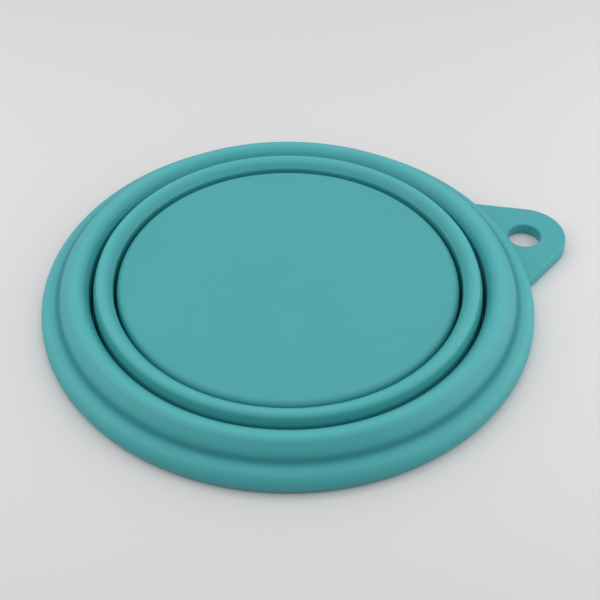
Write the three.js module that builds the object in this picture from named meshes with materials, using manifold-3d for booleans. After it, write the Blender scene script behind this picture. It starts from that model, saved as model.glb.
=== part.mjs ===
// Collapsible dog bowl of soft silicone, folded flat and lying mouth down on its rim.
// Millimetres, +Z up, floor at z = 0, hang tab along +X.
// From the outside in: rim flange with hang tab, upper wall with its crest, upper fold,
// middle wall with its crest, lower fold, base wall, base disc.
import * as THREE from 'three';
import { mergeVertices } from 'three/addons/utils/BufferGeometryUtils.js';
import Module from 'manifold-3d';

const wasm = await Module();
wasm.setup();

// Facets round the axis, shared by every ring so that touching faces match.
const SEGMENTS = 64;

// Base: the flat disc in the middle, which is the bowl's foot when it is in use.
const BASE_RADIUS = 45;
const BASE_HEIGHT = 9.8;
const BASE_THICKNESS = 2.4;
const BASE_EDGE_ROUND = 2;

// Grooves between the nested rings, and how far the folds stay above the floor.
const LOWER_GROOVE_WIDTH = 1.5;
const UPPER_GROOVE_WIDTH = 1.55;
const FOLD_FLOOR_GAP = 0.8;

// Middle ring: a narrow round crest.
const MIDDLE_RING_WIDTH = 4.2;
const MIDDLE_RING_HEIGHT = 11.6;

// Upper ring: round on the inside, a broad shoulder on the outside.
const UPPER_RING_HEIGHT = 11;
const UPPER_RING_INNER_ROUND = 3.2;
const SHOULDER_WIDTH = 4.5;
const SHOULDER_SINK = 0.6;
const FOOT_ROUND = 0.3;

// Wall thicknesses: stiff tiers and thin folds.
const UPPER_WALL_THICKNESS = 2.25;
const TIER_THICKNESS = 1.7;
const FOLD_THICKNESS = 1.15;

// Rim flange: its brim slopes down from the wall's foot to the rounded edge.
const FLANGE_WIDTH = 5.05;
const FLANGE_LOWER_ROUND = 1.5;
const FLANGE_EDGE_ROUND = 2.6;
const BRIM_SLOPE_ANGLE = 27;

// Hang tab: a flat plate with a round tip about its hole, let into the flange's edge.
const TAB_THICKNESS = 3.4;
const TAB_HOLE_RADIUS = 4.5;
const TAB_HOLE_MARGIN = 0.2;
const TAB_TIP_BAND = 6.9;
const TAB_SIDE_ANGLE = 30;
const TAB_ROOT_DEPTH = 2.7;
const TAB_EDGE_ROUND = 0.4;

// Radii, each derived from the ring inside it.
const lowerFoldInner = BASE_RADIUS + LOWER_GROOVE_WIDTH;
const middleRound = MIDDLE_RING_WIDTH / 2;
const middleCrestRadius = lowerFoldInner + middleRound;
const middleOuter = lowerFoldInner + MIDDLE_RING_WIDTH;
const upperFoldInner = middleOuter + UPPER_GROOVE_WIDTH;
const upperCrestRadius = upperFoldInner + UPPER_RING_INNER_ROUND;
const wallRadius = upperCrestRadius + SHOULDER_WIDTH;
const flangeRadius = wallRadius + FLANGE_WIDTH;
const tabHoleX = flangeRadius + TAB_HOLE_MARGIN + TAB_HOLE_RADIUS;
const tabTipRadius = TAB_HOLE_RADIUS + TAB_TIP_BAND;
const tabRootX = flangeRadius - TAB_ROOT_DEPTH;

// The origin lies under the middle of the part's length, tab included.
const axisX = (flangeRadius - tabHoleX - tabTipRadius) / 2;

const at = (r, z) => new THREE.Vector2(r, z);

// Points on an ellipse's arc about (r, z), between two angles in degrees.
function arc(r, z, radiusR, radiusZ, from, to, steps) {
  const points = [];
  for (let i = 0; i <= steps; i += 1) {
    const angle = THREE.MathUtils.degToRad(from + ((to - from) * i) / steps);
    points.push(at(r + radiusR * Math.cos(angle), z + radiusZ * Math.sin(angle)));
  }
  return points;
}

// The angle at which an ellipse of half-height radiusZ about z stands at a given height.
const angleAt = (height, z, radiusZ) => THREE.MathUtils.radToDeg(Math.asin((height - z) / radiusZ));

// A solid turned about the axis from a profile that runs up its outside and closes on itself.
function turned(profile) {
  const geometry = new THREE.LatheGeometry(profile, SEGMENTS);
  return geometry.rotateX(Math.PI / 2);
}

const ring = (profile) => turned([...profile, profile[0].clone()]);

function toManifold(geometry) {
  const bare = geometry.clone();
  bare.deleteAttribute('normal');
  bare.deleteAttribute('uv');
  const merged = mergeVertices(bare, 1e-4);
  return new wasm.Manifold(new wasm.Mesh({
    numProp: 3,
    vertProperties: new Float32Array(merged.attributes.position.array),
    triVerts: new Uint32Array(merged.index.array),
  }));
}

function fromManifold(solid) {
  const mesh = solid.getMesh();
  const geometry = new THREE.BufferGeometry();
  geometry.setAttribute('position', new THREE.BufferAttribute(new Float32Array(mesh.vertProperties), 3));
  geometry.setIndex(new THREE.BufferAttribute(new Uint32Array(mesh.triVerts), 1));
  geometry.computeVertexNormals();
  return geometry;
}

// Rim flange's outside: a small round underneath, a large one above it, then the sloping brim.
// The slope ends at the flat seat on which the upper wall stands.
const lowerEdge = arc(
  flangeRadius - FLANGE_LOWER_ROUND,
  FLANGE_LOWER_ROUND,
  FLANGE_LOWER_ROUND,
  FLANGE_LOWER_ROUND,
  270,
  360,
  4,
);
const upperEdge = arc(
  flangeRadius - FLANGE_EDGE_ROUND,
  FLANGE_LOWER_ROUND,
  FLANGE_EDGE_ROUND,
  FLANGE_EDGE_ROUND,
  0,
  90 - BRIM_SLOPE_ANGLE,
  5,
);
const brimFoot = upperEdge[upperEdge.length - 1];
const seatRadius = wallRadius + FOOT_ROUND;
const brimRise = (brimFoot.x - seatRadius) * Math.tan(THREE.MathUtils.degToRad(BRIM_SLOPE_ANGLE));
const seatZ = brimFoot.y + brimRise;

// Upper wall: its outside is a quarter ellipse that leans in from the foot to the crest.
// The ellipse is centred a little under the flange's seat.
const shoulderZ = seatZ - SHOULDER_SINK;
const shoulderHeight = UPPER_RING_HEIGHT - shoulderZ;
const hollowWidth = SHOULDER_WIDTH - UPPER_WALL_THICKNESS;
const hollowHeight = shoulderHeight - FOLD_THICKNESS;
const hollowFoot = angleAt(seatZ, shoulderZ, hollowHeight);
const footAngle = angleAt(seatZ + FOOT_ROUND, shoulderZ, shoulderHeight);
const upperRingZ = UPPER_RING_HEIGHT - UPPER_RING_INNER_ROUND;
const crestHollowRound = UPPER_RING_INNER_ROUND - FOLD_THICKNESS;
const crestHollow = arc(upperCrestRadius, upperRingZ, crestHollowRound, crestHollowRound, 180, 90, 3);
const wallHollow = arc(upperCrestRadius, shoulderZ, hollowWidth, hollowHeight, 90, hollowFoot, 4);
const shoulder = arc(upperCrestRadius, shoulderZ, SHOULDER_WIDTH, shoulderHeight, footAngle, 90, 6);
const wallFoot = shoulder[0];
const footFillet = arc(wallFoot.x + FOOT_ROUND, wallFoot.y, FOOT_ROUND, FOOT_ROUND, 270, 180, 2);
const upperCrest = arc(
  upperCrestRadius,
  upperRingZ,
  UPPER_RING_INNER_ROUND,
  UPPER_RING_INNER_ROUND,
  90,
  180,
  5,
);
const upperWall = ring([
  ...footFillet,
  ...shoulder.slice(1),
  ...upperCrest.slice(1),
  ...crestHollow,
  ...wallHollow.slice(1),
]);

// Rim flange: flat underneath and under the wall, sloping outside it.
const rimInner = wallHollow[wallHollow.length - 1].x;
const flangeRing = ring([
  at(rimInner, 0),
  ...lowerEdge,
  ...upperEdge.slice(1),
  at(seatRadius, seatZ),
  at(rimInner, seatZ),
]);

// Hang tab: sides that taper to the round tip, with softened edges and a flat root face.
function tabPlate() {
  const side = THREE.MathUtils.degToRad(TAB_SIDE_ANGLE);
  const deepX = tabRootX - TAB_ROOT_DEPTH;
  const deepHalf = ((tabHoleX - deepX) * Math.sin(side) + tabTipRadius) / Math.cos(side);
  const outline = new THREE.Shape();
  outline.moveTo(deepX, -deepHalf);
  outline.lineTo(tabHoleX + tabTipRadius * Math.sin(side), -tabTipRadius * Math.cos(side));
  outline.absarc(tabHoleX, 0, tabTipRadius, side - Math.PI / 2, Math.PI / 2 - side, false);
  outline.lineTo(deepX, deepHalf);
  outline.closePath();
  const hole = new THREE.Path();
  hole.absarc(tabHoleX, 0, TAB_HOLE_RADIUS, 0, 2 * Math.PI, true);
  outline.holes.push(hole);
  const plate = new THREE.ExtrudeGeometry(outline, {
    depth: TAB_THICKNESS - 2 * TAB_EDGE_ROUND,
    curveSegments: 14,
    bevelEnabled: true,
    bevelThickness: TAB_EDGE_ROUND,
    bevelSize: TAB_EDGE_ROUND,
    bevelOffset: -TAB_EDGE_ROUND,
    bevelSegments: 2,
  });
  plate.translate(0, 0, TAB_EDGE_ROUND);
  const behindRoot = new THREE.BoxGeometry(flangeRadius, 2 * flangeRadius, 2 * flangeRadius);
  behindRoot.translate(tabRootX - flangeRadius / 2, 0, 0);
  return toManifold(plate).subtract(toManifold(behindRoot));
}

const tab = tabPlate();
const flange = toManifold(flangeRing).subtract(tab);

// A fold: hangs down from a crest, turns in a round bend under a groove and meets the next wall.
function fold(inner, grooveWidth, top) {
  const outer = inner + FOLD_THICKNESS;
  const bendRadius = grooveWidth / 2;
  const bendR = inner - bendRadius;
  const bendOuter = bendRadius + FOLD_THICKNESS;
  const bendZ = FOLD_FLOOR_GAP + bendOuter;
  return ring([
    ...arc(bendR, bendZ, bendOuter, bendOuter, 180, 360, 6),
    at(outer, top),
    at(inner, top),
    ...arc(bendR, bendZ, bendRadius, bendRadius, 360, 180, 4),
  ]);
}

// The height at which the wall inside a fold stands on it.
const foldSeat = (grooveWidth) => FOLD_FLOOR_GAP + grooveWidth / 2 + FOLD_THICKNESS;

const upperFold = fold(upperFoldInner, UPPER_GROOVE_WIDTH, upperRingZ);

// Middle wall: an upright tier under a round crest, with a narrow round hollow inside the crest.
const middleRingZ = MIDDLE_RING_HEIGHT - middleRound;
const middleSeat = foldSeat(UPPER_GROOVE_WIDTH);
const middleInner = middleOuter - TIER_THICKNESS;
const middleHollowRound = (MIDDLE_RING_WIDTH - TIER_THICKNESS - FOLD_THICKNESS) / 2;
const middleHollowR = middleInner - middleHollowRound;
const middleWall = ring([
  at(middleInner, middleSeat),
  at(middleOuter, middleSeat),
  ...arc(middleCrestRadius, middleRingZ, middleRound, middleRound, 0, 180, 8),
  ...arc(middleHollowR, middleRingZ, middleHollowRound, middleHollowRound, 180, 0, 3),
]);

const lowerFold = fold(lowerFoldInner, LOWER_GROOVE_WIDTH, middleRingZ);

// Base wall: an upright tier under the disc.
const baseUnderside = BASE_HEIGHT - BASE_THICKNESS;
const baseSeat = foldSeat(LOWER_GROOVE_WIDTH);
const baseInner = BASE_RADIUS - TIER_THICKNESS;
const baseWall = ring([
  at(baseInner, baseSeat),
  at(BASE_RADIUS, baseSeat),
  at(BASE_RADIUS, baseUnderside),
  at(baseInner, baseUnderside),
]);

// Base disc: flat, with a round upper edge.
const baseFlat = BASE_RADIUS - BASE_EDGE_ROUND;
const baseRoundZ = BASE_HEIGHT - BASE_EDGE_ROUND;
const baseDisc = turned([
  at(0, baseUnderside),
  at(BASE_RADIUS, baseUnderside),
  ...arc(baseFlat, baseRoundZ, BASE_EDGE_ROUND, BASE_EDGE_ROUND, 0, 90, 4),
  at(0, BASE_HEIGHT),
]);

const group = new THREE.Group();
group.name = 'collapsible_bowl';

function addNode(name, geometry, colour) {
  const silicone = new THREE.MeshStandardMaterial({ color: colour, roughness: 0.62, metalness: 0 });
  geometry.translate(axisX, 0, 0);
  const mesh = new THREE.Mesh(geometry, silicone);
  mesh.name = name;
  group.add(mesh);
}

addNode('rim_flange', fromManifold(flange), 0x4b9ca3);
addNode('hang_tab', fromManifold(tab), 0x57a9ad);
addNode('upper_wall', upperWall, 0x53a1a6);
addNode('upper_fold', upperFold, 0x2f7f86);
addNode('middle_wall', middleWall, 0x58a8ac);
addNode('lower_fold', lowerFold, 0x2f7f86);
addNode('base_wall', baseWall, 0x45959b);
addNode('base_disc', baseDisc, 0x58a7ad);

export default group;
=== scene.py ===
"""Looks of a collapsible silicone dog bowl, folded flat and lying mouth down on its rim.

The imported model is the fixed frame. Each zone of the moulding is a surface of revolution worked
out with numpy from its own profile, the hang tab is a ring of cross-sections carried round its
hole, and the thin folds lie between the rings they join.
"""

import logging
import math
from abc import ABC, abstractmethod
from dataclasses import dataclass
from enum import Enum

import bpy
import numpy as np
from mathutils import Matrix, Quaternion, Vector


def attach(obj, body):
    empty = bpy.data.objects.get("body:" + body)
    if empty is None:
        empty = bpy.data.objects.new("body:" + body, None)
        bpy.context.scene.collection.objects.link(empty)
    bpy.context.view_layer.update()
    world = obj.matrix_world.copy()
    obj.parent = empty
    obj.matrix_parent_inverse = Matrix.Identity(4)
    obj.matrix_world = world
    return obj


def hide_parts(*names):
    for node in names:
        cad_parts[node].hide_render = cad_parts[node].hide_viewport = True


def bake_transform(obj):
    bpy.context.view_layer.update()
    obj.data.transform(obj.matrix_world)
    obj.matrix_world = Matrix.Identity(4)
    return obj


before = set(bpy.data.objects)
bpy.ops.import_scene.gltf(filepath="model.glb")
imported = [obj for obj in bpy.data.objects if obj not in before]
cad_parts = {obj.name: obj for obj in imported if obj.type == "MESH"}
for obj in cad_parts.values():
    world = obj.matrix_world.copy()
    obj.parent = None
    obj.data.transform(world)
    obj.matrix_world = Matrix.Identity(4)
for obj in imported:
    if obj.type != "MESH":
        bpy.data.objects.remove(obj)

LOG = logging.getLogger("bowl")
MM = 0.001

# Profile points that lie closer than this are one point, in millimetres.
SAME_POINT = 1e-6

# Directions in a profile, in degrees. A full turn points outwards again.
OUT, UP, IN, DOWN, FULL = 0.0, 90.0, 180.0, 270.0, 360.0

BLACK, WHITE = (0.0, 0.0, 0.0, 1.0), (1.0, 1.0, 1.0, 1.0)

Array = np.ndarray
Point = tuple[float, float]
Place = tuple[float, float, float]
Colour = tuple[float, float, float]
Profile = tuple[Array, list[int]]
Thing = bpy.types.Object
Tree = bpy.types.NodeTree
Plug = bpy.types.NodeSocket
Material = bpy.types.Material


class Body(Enum):
    """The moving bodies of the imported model."""

    RIM = "rim"
    MIDDLE = "middle_ring"
    BASE = "base"


class Slot(Enum):
    """The record's material slots."""

    SILICONE = "silicone"
    FOLD = "silicone_fold"


class Socket(Enum):
    """The kinds of sockets on a node group."""

    FLOAT = "NodeSocketFloat"
    VECTOR = "NodeSocketVector"
    COLOUR = "NodeSocketColor"


# Profile and mesh helpers


def ellipse_arc(centre: Point, radii: Point, start: float, stop: float, count: int) -> Array:
    """Points on an ellipse's arc.

    Formula: the centre plus the radii times the cosine and sine of evenly spaced angles.

    Args:
        centre: The ellipse's centre as (radius, height), in millimetres.
        radii: Half-width and half-height of the ellipse.
        start: First angle in degrees, 0 being outwards and 90 up.
        stop: Last angle in degrees.
        count: Number of points.

    Returns:
        An array of (radius, height) rows.
    """
    angle = np.radians(np.linspace(start, stop, count))
    across = centre[0] + radii[0] * np.cos(angle)
    return np.stack([across, centre[1] + radii[1] * np.sin(angle)], axis=1)


def circle_arc(centre: Point, radius: float, start: float, stop: float, count: int) -> Array:
    """Points on a circle's arc, given in the same way as an ellipse's."""
    return ellipse_arc(centre, (radius, radius), start, stop, count)


def straight(a: Point | Array, b: Point | Array, count: int) -> Array:
    """Evenly spaced points from a to b, both included."""
    return np.linspace(a, b, count)


def joined(*runs: Array) -> Array:
    """Runs of profile points put end to end, without the points that repeat their neighbour.

    Args:
        runs: Arrays of (radius, height) rows in order.

    Returns:
        One array of (radius, height) rows.
    """
    points = np.concatenate(runs)
    step = np.linalg.norm(np.diff(points, axis=0), axis=1)
    return points[np.concatenate([[True], step > SAME_POINT])]


def rounded(
    corners: list[Point], radii: list[float], step: float = 0.2, arc_points: int = 24
) -> Array:
    """A run of straight lines whose inner corners are rounded.

    Formula: each corner gives way to the arc that touches both of its lines; the arc's centre lies
    square to the first line, on the side that the run turns to.

    Args:
        corners: The run's ends and corners as (radius, height).
        radii: The radius at each inner corner.
        step: Spacing of the points on the straight lines.
        arc_points: Number of points on each arc.

    Returns:
        An array of (radius, height) rows.
    """
    points, radius = np.array(corners, dtype=float), np.array(radii)[:, None]
    along = np.diff(points, axis=0)
    along = along / np.linalg.norm(along, axis=1, keepdims=True)
    first, last = along[:-1], along[1:]
    side = np.sign(first[:, 0] * last[:, 1] - first[:, 1] * last[:, 0])[:, None]
    turn = np.arccos(np.clip(np.sum(first * last, axis=1, keepdims=True), -1.0, 1.0))
    reach = radius * np.tan(turn / 2)
    square = np.stack([-first[:, 1], first[:, 0]], axis=1) * side
    centre = points[1:-1] - first * reach + square * radius
    share = (turn * np.linspace(0.0, 1.0, arc_points))[..., None]
    swing = np.cos(share) * -square[:, None] + np.sin(share) * first[:, None]
    arcs = centre[:, None] + swing * radius[:, None]
    starts = np.concatenate([points[:1], arcs[:, -1]])
    stops = np.concatenate([arcs[:, 0], points[-1:]])
    counts = (np.linalg.norm(stops - starts, axis=1) / step).astype(int) + 2
    lines = [straight(a, b, count) for a, b, count in zip(starts, stops, counts)]
    return joined(*[run for pair in zip(lines, [*arcs, points[-1:]]) for run in pair])


def close_ends(run: Array, distance: float = 0.03) -> Array:
    """A run with one extra point close to each end, so that the shading keeps its true slope.

    Formula: the extra point lies on the line from the end to its neighbour, at the given distance
    and at most half way.

    Args:
        run: Array of (radius, height) rows.
        distance: How far from each end the extra point lies, in millimetres.

    Returns:
        The run with two more rows.
    """
    ends, step = run[[0, -1]], run[[1, -2]] - run[[0, -1]]
    share = np.minimum(distance / np.linalg.norm(step, axis=1, keepdims=True), 0.5)
    first, last = ends + step * share
    return np.concatenate([run[:1], first[None], run[1:-1], last[None], run[-1:]])


def two_runs(first: Array, second: Array) -> Profile:
    """A profile of two runs one after the other, and the numbers of both runs' end points."""
    count = len(first)
    return joined(first, second), [0, count - 1, count, count + len(second) - 1]


def grid_quads(rows: int, columns: int) -> Array:
    """Quads of a grid that closes on itself both ways.

    Formula: cell (i, j) takes points (i, j), (i + 1, j), (i + 1, j + 1) and (i, j + 1), where row
    and column numbers wrap round.

    Args:
        rows: Number of rows.
        columns: Number of points in a row.

    Returns:
        An array of four point numbers per cell.
    """
    i, j = np.meshgrid(np.arange(rows), np.arange(columns), indexing="ij")
    here, after = i * columns, (i + 1) % rows * columns
    right = (j + 1) % columns
    return np.stack([here + j, after + j, after + right, here + right], axis=-1).reshape(-1, 4)


def placed(name: str, data: bpy.types.ID) -> Thing:
    """A new object with the given data, in the scene and at the origin.

    Args:
        name: The object's name.
        data: Its mesh, lamp or camera.

    Returns:
        The new object.
    """
    thing = bpy.data.objects.new(name, data)
    bpy.context.scene.collection.objects.link(thing)
    return thing


def new_piece(
    name: str,
    points: Array,
    faces: list[list[int]],
    sharp: Array | None = None,
    painted_light: Array | None = None,
) -> Thing:
    """A smooth mesh object at the origin with the given points in millimetres.

    Args:
        name: The piece's name.
        points: Array of (x, y, z) rows in the part's frame.
        faces: Point numbers of each face.
        sharp: One group number per point, or None. An edge is sharp where both its points share
            a group above 0.
        painted_light: One value per point for the pigment, above 0 for a painted highlight and
            below 0 for painted shade, or None.

    Returns:
        The new object.
    """
    mesh = bpy.data.meshes.new(name)
    mesh.from_pydata((points * MM).tolist(), [], faces)
    mesh.polygons.foreach_set("use_smooth", np.ones(len(mesh.polygons), dtype=bool))
    if sharp is not None:
        ends = np.empty(len(mesh.edges) * 2, dtype=np.int32)
        mesh.edges.foreach_get("vertices", ends)
        first, last = sharp[ends.reshape(-1, 2)].T
        mesh.edges.foreach_set("use_edge_sharp", (first > 0) & (first == last))
    if painted_light is not None:
        # Mask of the painted highlight and painted shade, kept on the points for the material.
        layer = mesh.attributes.new("painted_light", "FLOAT", "POINT")
        layer.data.foreach_set("value", painted_light.astype(np.float32))
    mesh.update()
    return placed(name, mesh)


@dataclass(frozen=True)
class Stretch:
    """Where a highlight is painted over a crest and shade is painted into a crease.

    Attributes:
        crests: Crest lines as (radius, height, strength), in millimetres.
        creases: Crease lines in the same way.
        crest_width: Half-width of a crest's painted highlight band.
        crease_width: Half-width of a crease's painted shade band.
    """

    crests: tuple[Place, ...]
    creases: tuple[Place, ...]
    crest_width: float = 1.7
    crease_width: float = 1.2

    def bells(self, profile: Array, lines: tuple[Place, ...], width: float) -> Array:
        """Sum of the lines' bell curves at each profile point.

        Formula: each line's strength times the exponential of minus the squared distance over
        the width.

        Args:
            profile: Array of (radius, height) rows.
            lines: The lines as (radius, height, strength).
            width: Half-width of the bells.

        Returns:
            One value per row.
        """
        line = np.array(lines)
        gap = np.linalg.norm(profile[:, None] - line[None, :, :2], axis=2) / width
        return np.exp(-gap ** 2) @ line[:, 2]

    def at(self, profile: Array) -> Array:
        """Painted light at each profile point: above 0 for a painted highlight on crests, below 0
        for painted shade in creases.
        """
        # Painted highlight along the crest lines, painted shade along the crease lines.
        crest = self.bells(profile, self.crests, self.crest_width)
        return crest - self.bells(profile, self.creases, self.crease_width)


@dataclass(frozen=True)
class Lathe:
    """Turns profiles into surfaces of revolution about the bowl's axis.

    Attributes:
        painted_light: Gives the painted highlight and painted shade values for the pigment.
        axis_x: Where the axis stands on X, in millimetres.
        segments: Number of steps round the axis.
    """

    painted_light: Stretch
    axis_x: float = -8.05
    segments: int = 360

    def round_points(self, profile: Array) -> Array:
        """Points of the turned surface, one row of the profile per step round the axis.

        Formula: x is the axis plus radius times cosine, y is radius times sine, z is the height.

        Args:
            profile: Array of (radius, height) rows.

        Returns:
            An array of (x, y, z) rows, step by step.
        """
        turn = np.linspace(0.0, 2.0 * np.pi, self.segments, endpoint=False)[:, None]
        radius, height = profile[None, :, 0], profile[None, :, 1]
        x = self.axis_x + radius * np.cos(turn)
        y = radius * np.sin(turn)
        return np.stack([x, y, np.broadcast_to(height, x.shape)], axis=-1).reshape(-1, 3)

    def marks(self, count: int, corners: list[int]) -> Array:
        """Group numbers of the corners all round the surface, 0 for the points between them."""
        groups = [corners.index(i) + 1 if i in corners else 0 for i in range(count)]
        return np.tile(groups, self.segments)

    def ring(self, name: str, profile: Array, corners: list[int]) -> Thing:
        """A closed ring from a profile that closes on itself and runs up its outside.

        Args:
            name: The piece's name.
            profile: Array of (radius, height) rows, the last not repeating the first.
            corners: Profile points where the surface has a sharp edge.

        Returns:
            The new object.
        """
        faces = grid_quads(self.segments, len(profile)).tolist()
        # Painted highlight and painted shade value of each point.
        painted_light = np.tile(self.painted_light.at(profile), self.segments)
        sharp = self.marks(len(profile), corners)
        return new_piece(name, self.round_points(profile), faces, sharp, painted_light)

    def cup(self, name: str, profile: Array, corners: list[int]) -> Thing:
        """A closed solid from a profile that starts and ends on the axis and runs up its outside.

        Formula: the profile between its ends is turned as a ring's is, without the cells that
        would close it, and a fan of triangles joins each of its edges to a pole on the axis.

        Args:
            name: The piece's name.
            profile: Array of (radius, height) rows, the first and last on the axis.
            corners: Profile points where the surface has a sharp edge.

        Returns:
            The new object.
        """
        body, segments = profile[1:-1], self.segments
        count = len(body)
        quads = grid_quads(segments, count).reshape(segments, count, 4)[:, :-1].reshape(-1, 4)
        here = np.arange(segments) * count
        after = np.roll(here, -1)
        pole = np.full(segments, segments * count)
        low = np.stack([pole, after, here], axis=1)
        high = np.stack([pole + 1, here + count - 1, after + count - 1], axis=1)
        faces = quads.tolist() + low.tolist() + high.tolist()
        poles = [[self.axis_x, 0.0, height] for height in profile[[0, -1], 1]]
        points = np.concatenate([self.round_points(body), poles])
        sharp = np.append(self.marks(count, [corner - 1 for corner in corners]), [0, 0])
        # Painted highlight and painted shade value of each point; none at the poles.
        painted_light = np.append(np.tile(self.painted_light.at(body), segments), [0.0, 0.0])
        return new_piece(name, points, faces, sharp, painted_light)


# Finishes


class Nodes:
    """Short ways to add and link the nodes of one tree."""

    def __init__(self, tree: Tree) -> None:
        """Clears the tree and keeps it."""
        self.tree = tree
        tree.nodes.clear()

    def feed(self, entry: Plug, value: object) -> None:
        """Links an input to the socket that feeds it, or sets it to a plain value.

        Args:
            entry: The input.
            value: The socket or the plain value.
        """
        if isinstance(value, Plug):
            self.tree.links.new(value, entry)
        else:
            entry.default_value = value

    def add(self, kind: str, *entries: object, **values: object) -> bpy.types.Node:
        """A new node with its properties set and its inputs fed.

        Args:
            kind: The node's type name.
            entries: What feeds the first inputs, in order.
            values: Properties by name, or inputs by name with spaces written as underscores.

        Returns:
            The node.
        """
        node = self.tree.nodes.new(kind)
        for entry, value in zip(node.inputs, entries):
            self.feed(entry, value)
        for key, value in values.items():
            label = key.replace("_", " ")
            if label in node.inputs:
                self.feed(node.inputs[label], value)
            else:
                setattr(node, key, value)
        return node

    def math(self, operation: str, *entries: object, **values: object) -> Plug:
        """The result of a sum on sockets and plain values."""
        return self.add("ShaderNodeMath", *entries, operation=operation, **values).outputs[0]

    def span(self, value: Plug, **limits: object) -> Plug:
        """A value carried from one range to another, each 0 to 1 where no limits are given."""
        return self.add("ShaderNodeMapRange", Value=value, **limits).outputs["Result"]

    def mix(self, factor: Plug, a: Plug, b: Plug) -> Plug:
        """Two colours mixed by a factor."""
        node = self.add("ShaderNodeMix", data_type="RGBA", Factor=factor, A=a, B=b)
        return node.outputs["Result"]


def group_tree(
    name: str, inputs: list[tuple[str, Socket, object]], outputs: list[tuple[str, Socket]]
) -> Tree:
    """An empty shader node group with named sockets.

    Args:
        name: The group's name.
        inputs: Name, kind and default of each input.
        outputs: Name and kind of each output.

    Returns:
        The group's tree.
    """
    tree = bpy.data.node_groups.new(name, "ShaderNodeTree")
    for label, kind, default in inputs:
        socket = tree.interface.new_socket(label, in_out="INPUT", socket_type=kind.value)
        socket.default_value = default
    for label, kind in outputs:
        tree.interface.new_socket(label, in_out="OUTPUT", socket_type=kind.value)
    return tree


def grain_group() -> Tree:
    """The fine pebbled skin that a blasted mould leaves on silicone.

    Formula: two octaves of noise at the grain's size make the height. A slower noise spreads the
    roughness a little either side of its middle value, and the mask below 0, where shade is
    painted into a crease, adds to it.

    Returns:
        The group's tree, with inputs Vector, Stretch, Scale, Roughness and Spread and outputs
        Height and Roughness.
    """
    tree = group_tree(
        "moulded_grain",
        [
            ("Vector", Socket.VECTOR, (0.0, 0.0, 0.0)),
            ("Stretch", Socket.FLOAT, 0.0),
            ("Scale", Socket.FLOAT, 5000.0),
            ("Roughness", Socket.FLOAT, 0.5),
            ("Spread", Socket.FLOAT, 0.1),
        ],
        [("Height", Socket.FLOAT), ("Roughness", Socket.FLOAT)],
    )
    n = Nodes(tree)
    given = n.add("NodeGroupInput").outputs
    place, middle, spread = given["Vector"], given["Roughness"], given["Spread"]
    size = given["Scale"]
    fine = n.add("ShaderNodeTexNoise", Vector=place, Scale=size, Detail=2.0, Roughness=0.55)
    slow = n.add("ShaderNodeTexNoise", Vector=place, Scale=160.0, Detail=3.0)
    low, high = n.math("SUBTRACT", middle, spread), n.math("ADD", middle, spread)
    skin = n.span(slow.outputs["Fac"], To_Min=low, To_Max=high)
    # Rougher where shade is painted into the crease.
    dull = n.span(given["Stretch"], From_Max=-1.0, To_Max=0.4)
    rough = n.math("ADD", skin, dull, use_clamp=True)
    n.add("NodeGroupOutput", Height=fine.outputs["Fac"], Roughness=rough)
    return tree


def pigment_and_painted_light_group(bare_share: float = 0.97) -> Tree:
    """Slightly uneven cast-silicone pigment with painted light and shade and a few pale dust
    specks.

    Formula: a slow noise mixes a deeper and a paler tone of the pigment, the mask above 0 mixes in
    the painted highlight tone and below 0 the painted shade tone, and small far-apart cells of a
    Voronoi pattern mix in the dust colour.

    Args:
        bare_share: Share of the cells that carry no dust.

    Returns:
        The group's tree, with inputs Vector, Stretch, Deep, Pale, Drawn, Tucked,
        Dust and Amount and output Color.
    """
    tree = group_tree(
        "pigment_and_painted_light",
        [
            ("Vector", Socket.VECTOR, (0.0, 0.0, 0.0)),
            ("Stretch", Socket.FLOAT, 0.0),
            ("Deep", Socket.COLOUR, BLACK),
            ("Pale", Socket.COLOUR, WHITE),
            ("Drawn", Socket.COLOUR, WHITE),
            ("Tucked", Socket.COLOUR, BLACK),
            ("Dust", Socket.COLOUR, WHITE),
            ("Amount", Socket.FLOAT, 0.3),
        ],
        [("Color", Socket.COLOUR)],
    )
    n = Nodes(tree)
    given = n.add("NodeGroupInput").outputs
    place, painted_light = given["Vector"], given["Stretch"]
    cloud = n.add("ShaderNodeTexNoise", Vector=place, Scale=55.0, Detail=4.0, Roughness=0.6)
    tone = n.span(cloud.outputs["Fac"], From_Min=0.3, From_Max=0.7)
    plain = n.mix(tone, given["Deep"], given["Pale"])
    # Painted highlight mixed in on crests and brim, then painted shade in the crease.
    painted_highlight = n.mix(n.span(painted_light), plain, given["Drawn"])
    painted_shade = n.mix(n.span(painted_light, From_Max=-1.0), painted_highlight, given["Tucked"])
    cells = n.add("ShaderNodeTexVoronoi", Vector=place, Scale=300.0).outputs
    red = n.add("ShaderNodeSeparateColor", Color=cells["Color"]).outputs["Red"]
    speck = n.span(cells["Distance"], From_Min=0.02, From_Max=0.06, To_Min=1.0, To_Max=0.0)
    kept = n.math("MULTIPLY", speck, n.math("GREATER_THAN", red, bare_share))
    dusted = n.mix(n.math("MULTIPLY", kept, given["Amount"]), painted_shade, given["Dust"])
    n.add("NodeGroupOutput", Color=dusted)
    return tree


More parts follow.
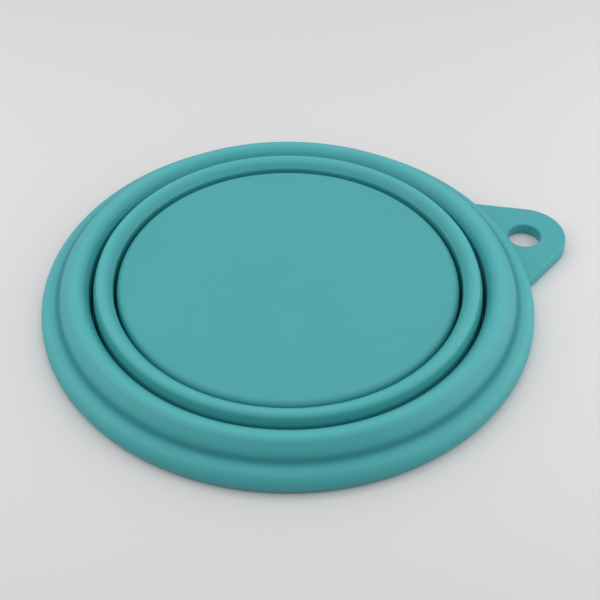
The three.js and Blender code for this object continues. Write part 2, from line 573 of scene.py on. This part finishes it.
@dataclass(frozen=True)
class SiliconeFinish:
    """Matte coloured silicone.

    Attributes:
        name: The material's name.
        deep: The pigment's deeper tone, linear.
        pale: The pigment's paler tone, linear.
        painted_highlight: The painted highlight tone on crests and brim, linear.
        painted_shade: The painted shade tone in the crease at the wall's foot, linear.
        dust: The colour of dust specks, linear.
        dust_amount: How far a speck covers the pigment.
        roughness: Middle roughness of the skin.
        spread: How far the roughness varies either side.
        grain_scale: Grains per metre.
        grain_depth: Strength of the grain's relief.
        grain_height: Height of the grain's relief, in metres.
        gloss: Specular level of the skin.
    """

    name: str
    deep: Colour = (0.037, 0.316, 0.337)
    pale: Colour = (0.041, 0.33, 0.351)
    # Painted highlight tone for crests and brim, then painted shade tone for the crease.
    painted_highlight: Colour = (0.055, 0.385, 0.395)
    painted_shade: Colour = (0.018, 0.205, 0.232)
    dust: Colour = (0.45, 0.62, 0.64)
    dust_amount: float = 0.35
    roughness: float = 0.52
    spread: float = 0.06
    grain_scale: float = 5200.0
    grain_depth: float = 0.12
    grain_height: float = 0.00012
    gloss: float = 0.5

    def material(self, grain: Tree, pigment: Tree) -> Material:
        """The finish as a material on Object coordinates.

        Args:
            grain: The grain group.
            pigment: The group of pigment, painted highlight and painted shade.

        Returns:
            The material.
        """
        material = bpy.data.materials.new(self.name)
        material.use_nodes = True
        n = Nodes(material.node_tree)
        where = n.add("ShaderNodeTexCoord").outputs["Object"]
        # Mask of the painted highlight on crests and brim and the painted shade in the crease at
        # the wall's foot.
        thin = n.add("ShaderNodeAttribute", attribute_name="painted_light").outputs["Fac"]
        skin = n.add(
            "ShaderNodeGroup",
            node_tree=grain,
            Vector=where,
            Stretch=thin,
            Scale=self.grain_scale,
            Roughness=self.roughness,
            Spread=self.spread,
        ).outputs
        paint = n.add(
            "ShaderNodeGroup",
            node_tree=pigment,
            Vector=where,
            Stretch=thin,
            Deep=(*self.deep, 1.0),
            Pale=(*self.pale, 1.0),
            # Tones of the painted highlight and the painted shade.
            Drawn=(*self.painted_highlight, 1.0),
            Tucked=(*self.painted_shade, 1.0),
            Dust=(*self.dust, 1.0),
            Amount=self.dust_amount,
        ).outputs
        bump = n.add(
            "ShaderNodeBump",
            Strength=self.grain_depth,
            Distance=self.grain_height,
            Height=skin["Height"],
        )
        shader = n.add(
            "ShaderNodeBsdfPrincipled",
            Base_Color=paint["Color"],
            Roughness=skin["Roughness"],
            Specular_IOR_Level=self.gloss,
            Normal=bump.outputs["Normal"],
        )
        n.add("ShaderNodeOutputMaterial", Surface=shader.outputs["BSDF"])
        return material


Finishes = dict[Slot, Material]


def make_finishes() -> Finishes:
    """The silicone of the walls and of the thin folds, with its shared node groups.

    Returns:
        The materials by record slot.
    """
    groups = grain_group(), pigment_and_painted_light_group()
    names = {Slot.SILICONE: "teal_silicone", Slot.FOLD: "teal_silicone_fold"}
    return {slot: SiliconeFinish(name).material(*groups) for slot, name in names.items()}


# Sub-assemblies


@dataclass(frozen=True)
class Zone(ABC):
    """One zone of the moulding, which makes and dresses one piece."""

    @abstractmethod
    def build(self, lathe: Lathe, finishes: Finishes) -> Thing:
        """The zone's piece, made and dressed."""

    def dress(self, piece: Thing, finishes: Finishes, slot: Slot, *nodes: str) -> Thing:
        """Gives a piece the material of its record slot, and hides the CAD nodes that it stands
        for.

        Args:
            piece: The piece.
            finishes: The materials.
            slot: The record slot whose material the piece takes.
            nodes: The CAD nodes that it replaces.

        Returns:
            The piece.
        """
        piece.data.materials.append(finishes[slot])
        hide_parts(*nodes)
        return piece


@dataclass(frozen=True)
class FoldLine(Zone):
    """A thin fold, and where it hangs and turns, which the walls on both sides of it share.

    Attributes:
        node: The CAD node that the fold stands for.
        outer: The body that holds the crest; not used.
        inner: The body that stands on the bend; not used.
        crest_radius: Radius of the crest that the fold hangs from.
        crest_height: Height of that crest's top.
        inner_round: Radius of the crest's round on the fold's side.
        reach: How far the fold's face lies inside the crest's top.
        groove: Width of the groove at its mouth.
        bottom: Width of the groove at its bottom.
        slant: Steepest angle of the crest's inner slope, in degrees.
        edge_round: Radius between that slope and the fold's face.
        hinge: Thickness of the silicone at the crest's top and under the groove.
        thickness: Thickness of the fold under the crest.
        web: Thickness of the fold beside the bend.
        floor_gap: Height of the fold's lowest point.
        run_out: How far under that point the bending would end, so that the open wall arrives
            level at the next ring; not used.
    """

    node: str
    outer: Body
    inner: Body
    crest_radius: float
    crest_height: float
    inner_round: float
    reach: float
    groove: float
    bottom: float = 0.3
    slant: float = 53.0
    edge_round: float = 0.8
    hinge: float = 0.5
    thickness: float = 0.9
    web: float = 0.4
    floor_gap: float = 0.8
    run_out: float = 0.2

    @property
    def face(self) -> float:
        """Radius of the fold's face at the groove's mouth."""
        return self.crest_radius - self.reach

    @property
    def wall(self) -> float:
        """Radius of the next wall's outside at the groove's mouth."""
        return self.face - self.groove

    @property
    def slope_r(self) -> float:
        """Radius where the level of the crest meets the line of the inner slope."""
        return self.crest_radius - self.inner_round * math.tan(math.radians(self.slant) / 2)

    @property
    def slope_z(self) -> float:
        """Height where the inner slope meets the fold's face."""
        return self.crest_height - (self.slope_r - self.face) * math.tan(math.radians(self.slant))

    @property
    def bend_radius(self) -> float:
        """Radius of the groove's round bottom."""
        return self.bottom / 2

    @property
    def bend_r(self) -> float:
        """Distance of the bend's centre from the axis."""
        return self.face - self.groove / 2

    @property
    def bend_z(self) -> float:
        """Height of the bend's centre."""
        return self.floor_gap + self.hinge + self.bend_radius

    @property
    def foot(self) -> float:
        """Radius of the next wall's outside at the bend."""
        return self.bend_r - self.bend_radius

    def profile(self) -> Profile:
        """The fold's closed profile and its sharp corners.

        Formula: a quarter ellipse from under the groove to the fold's back, a leaning line up, a
        quarter ellipse under the crest, then back over the round crest, down its slope and the
        leaning face and a quarter circle to under the groove. It is thinnest at both ends.

        Returns:
            The profile rows and the numbers of its corner points.
        """
        bend, back = (self.bend_r, self.bend_z), self.face + self.thickness
        under = (self.bend_radius + self.web, self.bend_radius + self.hinge)
        vault = (self.crest_radius - back, self.crest_height - self.hinge - self.slope_z)
        lower = joined(
            ellipse_arc(bend, under, DOWN, FULL, count=16),
            straight((self.bend_r + under[0], self.bend_z), (back, self.slope_z), count=40),
            ellipse_arc((self.crest_radius, self.slope_z), vault, IN, UP, count=16),
        )
        crest = [
            (self.crest_radius, self.crest_height),
            (self.slope_r, self.crest_height),
            (self.face, self.slope_z),
            (self.bend_r + self.bend_radius, self.bend_z),
        ]
        upper = joined(
            rounded(crest, [self.inner_round, self.edge_round]),
            circle_arc(bend, self.bend_radius, FULL, DOWN, count=12),
        )
        return two_runs(close_ends(lower), close_ends(upper))

    def build(self, lathe: Lathe, finishes: Finishes) -> Thing:
        """The fold as a dressed piece between the two rings it joins.

        Args:
            lathe: Turns the profile.
            finishes: The materials.

        Returns:
            The new object.
        """
        piece = lathe.ring(f"{self.node}_skin", *self.profile())
        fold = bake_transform(piece)
        return self.dress(fold, finishes, Slot.FOLD, self.node)


@dataclass(frozen=True)
class RimRing(Zone):
    """The rim flange and the upper wall up to its crest.

    Attributes:
        line: The fold that hangs from the crest.
        flange_radius: Outer radius of the flange.
        flange_z: Height at which its sloping top would meet its outer face.
        edge_round: Radius of the outer upper edge.
        brim_r: Radius of the brim's highest line before it is rounded.
        brim_z: Height of that line.
        brim_round: Radius of the brim's top.
        lower_round: Radius of the outer lower edge.
        lip_round: Radius of the mouth's inner lower edge.
        foot_r: Outer radius of the wall's foot.
        foot_z: Height of the crease between flange and foot.
        valley_round: Radius of that crease.
        bulge_r: Radius of the corner between foot and shoulder before it is rounded.
        bulge_round: Radius of that corner.
        cone_r: Radius where the level of the crest meets the sloping shoulder.
        cone_angle: How far the shoulder falls away, in degrees.
        crest_round: Radius between the shoulder and the crest.
        inside_r: Inner radius of the mouth.
        inside_z: Height where the hollow inside starts to close.
    """

    line: FoldLine
    flange_radius: float = 65.0
    flange_z: float = 3.4
    edge_round: float = 2.6
    brim_r: float = 63.6
    brim_z: float = 5.1
    brim_round: float = 3.0
    lower_round: float = 1.5
    lip_round: float = 0.8
    foot_r: float = 60.3
    foot_z: float = 6.3
    valley_round: float = 1.6
    bulge_r: float = 59.45
    bulge_round: float = 4.5
    cone_r: float = 56.7
    cone_angle: float = 43.0
    crest_round: float = 3.15
    inside_r: float = 57.4
    inside_z: float = 4.0

    def skin(self) -> Array:
        """The outside that shows, from the flange's outer face up to the crest's top.

        Formula: up the outer face, in and up along the brim to its highest line, in to the crease,
        up the wall's foot and in along the shoulder to the level of the crest, with every corner
        rounded.

        Returns:
            The run of (radius, height) rows.
        """
        height = self.line.crest_height
        fall = (self.bulge_r - self.cone_r) * math.tan(math.radians(self.cone_angle))
        corners = [
            (self.flange_radius, self.lower_round),
            (self.flange_radius, self.flange_z),
            (self.brim_r, self.brim_z),
            (self.foot_r, self.foot_z),
            (self.bulge_r, height - fall),
            (self.cone_r, height),
            (self.line.crest_radius, height),
        ]
        brim, wall = [self.edge_round, self.brim_round], [self.bulge_round, self.crest_round]
        return rounded(corners, [*brim, self.valley_round, *wall])

    def profile(self) -> Profile:
        """The closed profile of flange and wall, up to the crest's top.

        Formula: flat underside, round lower edge and the outside up to the crest, then the hinge's
        thickness down and a quarter ellipse back inside to the mouth's rounded lip.

        Returns:
            The profile rows and the numbers of its corner points.
        """
        edge_r, lip_r = self.flange_radius - self.lower_round, self.inside_r + self.lip_round
        crest, under = self.line.crest_radius, self.line.crest_height - self.line.hinge
        hollow = (self.inside_r - crest, under - self.inside_z)
        outside = joined(
            straight((lip_r, 0.0), (edge_r, 0.0), count=8),
            circle_arc((edge_r, self.lower_round), self.lower_round, DOWN, FULL, count=20),
            self.skin(),
        )
        inside = joined(
            ellipse_arc((crest, self.inside_z), hollow, UP, OUT, count=32),
            circle_arc((lip_r, self.lip_round), self.lip_round, IN, DOWN, count=10),
        )
        rows, corners = two_runs(close_ends(outside), close_ends(inside)[:-1])
        return rows, corners[1:3]

    def build(self, lathe: Lathe, finishes: Finishes) -> Thing:
        """The flange and wall as one dressed ring that rides the rim."""
        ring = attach(lathe.ring("rim_and_upper_wall", *self.profile()), Body.RIM.value)
        return self.dress(ring, finishes, Slot.SILICONE, "rim_flange", "upper_wall")


@dataclass(frozen=True)
class HangTab(Zone):
    """The flat tab with a round hole that grows out of the flange's edge.

    Attributes:
        rim: The flange that the tab grows out of.
        hole_x: Distance of the hole's centre from the bowl's axis.
        hole_radius: Radius of the hole.
        tip_radius: Radius of the round tip about the hole's centre.
        side_angle: Angle between a straight side and the tab's middle line, in degrees.
        thickness: Thickness of the plate.
        edge_round: Radius of its upper edges.
        lower_round: Radius of its lower edges.
        root_round: Radius of the fillet in plan between a side and the flange.
        root_inset: How far inside the flange's edge that fillet ends.
        root_depth: How far the root reaches into the flange.
        square_depth: How far inside the flange's edge the outer edges have run out to square.
        clear: How far the root's underside stands above the flange's.
        edge_points: Number of points on each rounded edge.
        flat_points: Number of points from the hole's edge to the outline.
    """

    rim: RimRing
    hole_x: float = 69.7
    hole_radius: float = 4.5
    tip_radius: float = 11.4
    side_angle: float = 30.0
    thickness: float = 3.4
    edge_round: float = 0.45
    lower_round: float = 0.3
    root_round: float = 0.8
    root_inset: float = 2.2
    root_depth: float = 3.0
    square_depth: float = 1.2
    clear: float = 0.05
    edge_points: int = 8
    flat_points: int = 26

    def outline(self) -> tuple[Array, Array]:
        """The outline in plan, anticlockwise from the tip, and its outward normals.

        Formula: an arc about the hole, the straight side tangent to it, an arc tangent to the side
        and to a circle just inside the flange's edge, and an arc about the bowl's axis further in,
        then their mirror image; each normal is the turned difference of the two neighbours.

        Returns:
            Arrays of (x, y) rows: the points from the bowl's axis, and the normals.
        """
        flange, lean = self.rim.flange_radius, UP - self.side_angle
        tip = circle_arc((self.hole_x, 0.0), self.tip_radius, OUT, lean, count=40)
        side = math.cos(math.radians(lean)) * self.hole_x + self.tip_radius
        far = flange - self.root_inset + self.root_round
        bearing = lean - math.degrees(math.acos((side + self.root_round) / far))
        turn = math.radians(bearing)
        centre = (far * math.cos(turn), far * math.sin(turn))
        fillet = circle_arc(centre, self.root_round, IN + lean, IN + bearing, count=14)
        root = circle_arc((0.0, 0.0), flange - self.root_depth, bearing, OUT, count=40)
        run = straight(tip[-1], fillet[0], count=26)
        inward = straight(fillet[-1], root[0], count=8)
        half = joined(tip, run, fillet, inward, root)
        points = np.concatenate([half, half[-2:0:-1] * np.array([1.0, -1.0])])
        along = np.roll(points, -1, axis=0) - np.roll(points, 1, axis=0)
        normal = np.stack([along[:, 1], -along[:, 0]], axis=1)
        return points, normal / np.linalg.norm(normal, axis=1, keepdims=True)

    def sections(self) -> Array:
        """The cross-sections of the plate, one per outline point.

        Formula: each section runs up the hole's wall, over the top to the outline and back along
        the bottom, with quarter-round edges; its plan places are mixed between the hole's edge and
        the outline moved in along its normal. Inside the flange the outer edges run out to square.

        Returns:
            An array of outline points by section points by (x, y, z).
        """
        outer, normal = self.outline()
        middle = np.array([self.hole_x, 0.0])
        spoke = outer - middle
        spoke = (spoke / np.linalg.norm(spoke, axis=1, keepdims=True))[:, None]
        turn = np.radians(np.linspace(OUT, UP, self.edge_points))
        near, far = 1 - np.cos(turn), 1 - np.sin(turn)
        top_in, top_down = self.edge_round * near, self.edge_round * far
        low_in, low_up = self.lower_round * far, self.lower_round * near
        depth = np.hypot(outer[:, 0], outer[:, 1]) - self.rim.flange_radius
        free = np.clip(depth + self.square_depth, 0.0, 1.0)
        inward = (normal * free[:, None])[:, None]
        inner_top = middle + spoke * (self.hole_radius + top_in)[:, None]
        inner_low = middle + spoke * (self.hole_radius + low_in)[:, None]
        outer_top = outer[:, None] - inward * top_in[::-1, None]
        outer_low = outer[:, None] - inward * low_in[::-1, None]
        share = np.linspace(0.0, 1.0, self.flat_points)[1:-1, None]
        over = inner_top[:, -1:] + (outer_top[:, :1] - inner_top[:, -1:]) * share
        back = outer_low[:, -1:] + (inner_low[:, :1] - outer_low[:, -1:]) * share
        plan = np.concatenate([inner_top, over, outer_top, outer_low, back, inner_low], axis=1)
        edge, flat = self.thickness - top_down, np.ones(len(share))
        heights = [edge, flat * self.thickness, edge[::-1], low_up[::-1], flat * 0.0, low_up]
        z = np.broadcast_to(np.concatenate(heights), plan.shape[:2])
        return np.concatenate([plan, z[..., None]], axis=2)

    def clear_root(self, points: Array) -> Array:
        """The plate's points with the root's underside lifted clear of the flange's underside.

        Formula: the underside rises by the clearance over the millimetre inside the flange's edge,
        the top stays, and the heights between rise in proportion.

        Args:
            points: Array of (x, y, z) values about the bowl's axis.

        Returns:
            The moved points.
        """
        radius = np.hypot(points[..., 0], points[..., 1])
        share = np.clip(self.rim.flange_radius - radius, 0.0, 1.0)
        z = points[..., 2] + self.clear * share * (1 - points[..., 2] / self.thickness)
        return np.concatenate([points[..., :2], z[..., None]], axis=-1)

    def build(self, lathe: Lathe, finishes: Finishes) -> Thing:
        """The tab as one closed, dressed piece that rides the rim.

        Args:
            lathe: Gives the bowl's axis.
            finishes: The materials.

        Returns:
            The new object.
        """
        grid = self.clear_root(self.sections())
        points = grid.reshape(-1, 3) + np.array([lathe.axis_x, 0.0, 0.0])
        faces = grid_quads(*grid.shape[:2])[:, ::-1].tolist()
        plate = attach(new_piece("hang_tab_plate", points, faces), Body.RIM.value)
        return self.dress(plate, finishes, Slot.SILICONE, "hang_tab")


@dataclass(frozen=True, kw_only=True)
class TierWall(Zone):
    """A stiff wall that stands on a fold's bend and turns in over a rounded edge.

    Attributes:
        line: The fold that the wall stands on.
        edge_round: Radius of the edge.
        slant: Steepest angle of the edge, in degrees.
        foot_round: Radius between the edge and the upright wall under it.
        tier: Thickness of the wall.
        seat_z: Height at which the wall has its full thickness.
    """

    line: FoldLine
    edge_round: float
    slant: float
    foot_round: float = 1.5
    tier: float = 1.7
    seat_z: float = 2.6

    @property
    def edge_run(self) -> float:
        """How far the edge's round reaches along the level top."""
        return self.edge_round * math.tan(math.radians(self.slant) / 2)

    def outside(self, edge_r: float, height: float) -> Array:
        """The run from the middle of the bend up outside the wall to the level top.

        Formula: a quarter circle in the groove, up the wall, in along the slant and level to where
        the edge's round ends, with both corners rounded.

        Args:
            edge_r: Radius where the top's level meets the slant.
            height: Height of the top.

        Returns:
            The run of (radius, height) rows.
        """
        line = self.line
        fall = (line.wall - edge_r) * math.tan(math.radians(self.slant))
        corners = [
            (line.foot, line.bend_z),
            (line.wall, height - fall),
            (edge_r, height),
            (edge_r - self.edge_run, height),
        ]
        groove = circle_arc((line.bend_r, line.bend_z), line.bend_radius, DOWN, IN, count=12)
        return joined(groove, rounded(corners, [self.foot_round, self.edge_round]))

    def leg(self, height: float, count: int) -> Array:
        """The run down inside the wall to the middle of the bend.

        Formula: a leaning line to where the wall has its full thickness, then a quarter ellipse
        out under the bend.

        Args:
            height: Height at which the run starts.
            count: Number of points on the leaning line.

        Returns:
            The run of (radius, height) rows.
        """
        line, full = self.line, self.seat_z
        under = (line.bend_radius + self.tier, full - line.floor_gap)
        lean = straight((line.wall - self.tier, height), (line.foot - self.tier, full), count)
        return joined(lean, ellipse_arc((line.bend_r, full), under, IN, DOWN, count=20))


@dataclass(frozen=True, kw_only=True)
class MiddleRing(TierWall):
    """The middle wall up to its crest.

    Attributes:
        inner: The fold that hangs from the crest.
        vault_drop: How far under the crest's round the hollow inside starts to close.
    """

    inner: FoldLine
    edge_round: float = 1.7
    slant: float = 70.0
    vault_drop: float = 0.2

    def profile(self) -> Profile:
        """The closed profile from the upper fold's bend to the middle crest's top.

        Formula: up outside the wall and over the round crest to its top, the hinge's thickness
        down, a quarter ellipse and down inside the wall.

        Returns:
            The profile rows and the numbers of its corner points.
        """
        top, height = self.inner.crest_radius, self.inner.crest_height
        hollow_z = height - self.edge_round - self.vault_drop
        hollow = (self.line.wall - self.tier - top, height - self.inner.hinge - hollow_z)
        vault = ellipse_arc((top, hollow_z), hollow, UP, OUT, count=14)
        outside = self.outside(top + self.edge_run, height)
        inside = joined(vault, self.leg(hollow_z, count=14))
        return two_runs(close_ends(outside), close_ends(inside))

    def build(self, lathe: Lathe, finishes: Finishes) -> Thing:
        """The middle wall as one dressed ring that rides its own body."""
        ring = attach(lathe.ring("middle_wall_ring", *self.profile()), Body.MIDDLE.value)
        return self.dress(ring, finishes, Slot.SILICONE, "middle_wall")


@dataclass(frozen=True, kw_only=True)
class BaseCup(TierWall):
    """The base wall and the base disc.

    Attributes:
        height: Height of the disc's top.
        thickness: Thickness of the disc.
        edge_r: Radius where the disc's level meets its slanting edge.
        corner_round: Radius of the fillet inside, between wall and disc.
    """

    edge_round: float = 1.9
    slant: float = 72.0
    height: float = 9.8
    thickness: float = 2.4
    edge_r: float = 44.4
    corner_round: float = 1.5

    def profile(self) -> Profile:
        """The profile from the disc's underside round the wall to the disc's top.

        Formula: straight out under the disc, a concave quarter circle, down inside the wall, up
        outside it, in over the rounded edge and straight to the axis.

        Returns:
            The profile rows and the numbers of its corner points.
        """
        under = self.height - self.thickness
        corner = (self.line.wall - self.tier - self.corner_round, under - self.corner_round)
        inside = joined(
            straight((0.0, under), (corner[0], under), count=18),
            circle_arc(corner, self.corner_round, UP, OUT, count=12),
            self.leg(corner[1], count=8),
        )
        wall = self.outside(self.edge_r, self.height)
        outside = joined(wall, straight(wall[-1], (0.0, self.height), count=22))
        rows, corners = two_runs(close_ends(inside), close_ends(outside))
        return rows, corners[1:3]

    def build(self, lathe: Lathe, finishes: Finishes) -> Thing:
        """The base wall and disc as one dressed cup that rides its own body."""
        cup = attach(lathe.cup("base_cup", *self.profile()), Body.BASE.value)
        return self.dress(cup, finishes, Slot.SILICONE, "base_wall", "base_disc")


@dataclass(frozen=True)
class Bowl:
    """The whole bowl: its rings, folds, tab and base.

    Attributes:
        upper: The fold between the rim and the middle ring.
        lower: The fold between the middle ring and the base.
        rim: The flange and the upper wall.
        tab: The hang tab.
        middle: The middle wall.
        base: The base wall and disc.
        crest_shift: How far outside a crest's top its painted highlight is strongest.
        brim_highlight: Strength of the painted highlight on the brim, where a crest's is 1.
    """

    upper: FoldLine = FoldLine(
        "upper_fold",
        Body.RIM,
        Body.MIDDLE,
        crest_radius=55.45,
        crest_height=10.9,
        inner_round=3.2,
        reach=3.3,
        groove=1.15,
    )
    lower: FoldLine = FoldLine(
        "lower_fold",
        Body.MIDDLE,
        Body.BASE,
        crest_radius=48.75,
        crest_height=11.52,
        inner_round=2.6,
        reach=2.85,
        groove=0.9,
    )
    rim: RimRing = RimRing(upper)
    tab: HangTab = HangTab(rim)
    middle: MiddleRing = MiddleRing(line=upper, inner=lower)
    base: BaseCup = BaseCup(line=lower)
    crest_shift: float = 0.5
    brim_highlight: float = 0.5

    @property
    def lathe(self) -> Lathe:
        """The lathe, with highlights painted over crests and brim and shade painted into the
        crease at the wall's foot.

        Returns:
            The lathe for every turned piece.
        """
        # Painted highlights on both crests and the brim, painted shade in the crease at the wall's
        # foot.
        crests = [
            (line.crest_radius + self.crest_shift, line.crest_height, 1.0)
            for line in (self.upper, self.lower)
        ]
        brim = (self.rim.brim_r, self.rim.brim_z, self.brim_highlight)
        foot = (self.rim.foot_r, self.rim.foot_z, 1.0)
        return Lathe(Stretch((*crests, brim), (foot,)))

    def build(self, finishes: Finishes) -> list[Thing]:
        """Every piece, made and dressed, from the rim inwards."""
        zones = (self.rim, self.tab, self.upper, self.middle, self.lower, self.base)
        return [zone.build(self.lathe, finishes) for zone in zones]


# Studio


@dataclass(frozen=True)
class Panel:
    """One soft lamp, placed as seen from the camera.

    Attributes:
        name: The lamp's name.
        place: Where it hangs, in metres from the bowl's axis: to the right, away from the camera
            and up.
        aim: What it points at, in the same measure.
        size: Its width and height, in metres.
        power: Its power, in watts.
    """

    name: str
    place: Place
    aim: Place
    size: Point
    power: float


@dataclass(frozen=True)
class Studio:
    """Pale floor, soft light and the camera.

    Attributes:
        lathe: Gives the bowl's axis.
        floor_colour: Linear colour of the floor.
        floor_half: Half the floor's side, in metres.
        floor_drop: How far the floor lies under the rim, in metres.
        sky: Strength of the even light from all round.
        panels: The soft lamps above, beside and behind the bowl.
        lens: Focal length in millimetres.
        sensor: Width of the sensor in millimetres.
        clip: Nearest and furthest distance that the camera sees, in metres.
        azimuth: Where the camera stands round the object, in degrees.
        elevation: How far it stands above the horizon, in degrees.
        distance: Its distance from what it looks at, in metres.
        target: What it looks at, in metres from the bowl's axis: to the right and away from it.
        roll: How far it is tilted sideways, in degrees.
    """

    lathe: Lathe
    floor_colour: Colour = (0.665, 0.66, 0.665)
    floor_half: float = 6.0
    floor_drop: float = 0.00003
    sky: float = 0.485
    panels: tuple[Panel, ...] = (
        Panel("overhead_back", (0.0, 0.1, 0.3), (0.0, 0.1, 0.0), (0.3, 0.06), 0.14),
        Panel("overhead_middle", (0.0, -0.02, 0.22), (0.0, 0.0, 0.0), (0.12, 0.08), 0.03),
        Panel("overhead_front", (0.0, -0.13, 0.2), (0.0, -0.1, 0.0), (0.24, 0.05), 0.04),
        Panel("left_low", (-0.2, 0.0, 0.06), (0.0, 0.0, 0.06), (0.3, 0.11), 0.06),
        Panel("left_high", (-0.22, 0.0, 0.2), (0.0, 0.0, 0.03), (0.3, 0.13), 0.215),
        Panel("right_low", (0.2, 0.0, 0.06), (0.0, 0.0, 0.06), (0.3, 0.11), 0.13),
        Panel("right_high", (0.22, 0.0, 0.2), (0.0, 0.0, 0.03), (0.3, 0.13), 0.16),
        Panel("back_high", (0.0, 0.36, 0.24), (0.0, 0.0, 0.02), (0.5, 0.15), 0.28),
    )
    lens: float = 96.02
    sensor: float = 36.0
    clip: Point = (0.01, 30.0)
    azimuth: float = -21.3
    elevation: float = 43.67
    distance: float = 0.428
    target: Point = (0.00314, 0.00209)
    roll: float = 0.513

    def lay_floor(self) -> None:
        """Lays a wide plain floor under the rim."""
        half, z = self.floor_half, -self.floor_drop
        mesh = bpy.data.meshes.new("floor")
        corners = [(-half, -half, z), (half, -half, z), (half, half, z), (-half, half, z)]
        mesh.from_pydata(corners, [], [(0, 1, 2, 3)])
        floor = placed("floor", mesh)
        material = bpy.data.materials.new("pale_floor")
        material.use_nodes = True
        n = Nodes(material.node_tree)
        shader = n.add("ShaderNodeBsdfDiffuse", Color=(*self.floor_colour, 1.0))
        n.add("ShaderNodeOutputMaterial", Surface=shader.outputs["BSDF"])
        mesh.materials.append(material)

    def seen(self, place: Place) -> Vector:
        """A place measured as seen from the camera, in the frame.

        Formula: the bowl's axis plus the distances along the camera's right and its level forward
        direction, at the given height.

        Args:
            place: Metres to the right, away from the camera and up, from the axis on the floor.

        Returns:
            The same place in the frame, in metres.
        """
        turn = math.radians(self.azimuth)
        right = Vector((math.cos(turn), math.sin(turn), 0.0))
        ahead = Vector((-math.sin(turn), math.cos(turn), 0.0))
        axis = Vector((self.lathe.axis_x * MM, 0.0, place[2]))
        return axis + right * place[0] + ahead * place[1]

    def hang(self, panel: Panel) -> None:
        """Hangs one soft lamp, which the camera doesn't see.

        Args:
            panel: The lamp.
        """
        lamp = bpy.data.lights.new(panel.name, "AREA")
        lamp.shape, lamp.energy = "RECTANGLE", panel.power
        lamp.size, lamp.size_y = panel.size
        holder = placed(panel.name, lamp)
        holder.visible_camera = False
        holder.location = place = self.seen(panel.place)
        holder.rotation_mode = "QUATERNION"
        holder.rotation_quaternion = (self.seen(panel.aim) - place).to_track_quat("-Z", "Y")

    def light(self) -> None:
        """Makes an even sky and hangs the soft lamps."""
        world = bpy.data.worlds.new("studio")
        world.use_nodes = True
        n = Nodes(world.node_tree)
        sky = n.add("ShaderNodeBackground", Color=WHITE, Strength=self.sky)
        n.add("ShaderNodeOutputWorld", Surface=sky.outputs["Background"])
        bpy.context.scene.world = world
        for panel in self.panels:
            self.hang(panel)

    def set_camera(self) -> None:
        """Sets the camera at the photograph's angle."""
        turn, lift = math.radians(self.azimuth), math.radians(self.elevation)
        level = math.cos(lift)
        back = Vector((math.sin(turn) * level, -math.cos(turn) * level, math.sin(lift)))
        data = bpy.data.cameras.new("camera")
        data.lens, data.sensor_width = self.lens, self.sensor
        data.clip_start, data.clip_end = self.clip
        camera = placed("camera", data)
        camera.location = self.seen((*self.target, 0.0)) + back * self.distance
        camera.rotation_mode = "QUATERNION"
        tilt = Quaternion((0.0, 0.0, 1.0), math.radians(self.roll))
        camera.rotation_quaternion = (-back).to_track_quat("-Z", "Y") @ tilt
        bpy.context.scene.camera = camera


def main() -> None:
    """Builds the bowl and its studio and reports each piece."""
    logging.basicConfig(level=logging.INFO, format="%(name)s: %(message)s")
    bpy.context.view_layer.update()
    bowl = Bowl()
    for piece in bowl.build(make_finishes()):
        LOG.info("%s: %d faces", piece.name, len(piece.data.polygons))
    studio = Studio(bowl.lathe)
    studio.set_camera()
    studio.lay_floor()
    studio.light()
    bpy.context.scene.view_settings.view_transform = "Standard"


if __name__ == "__main__":
    main()
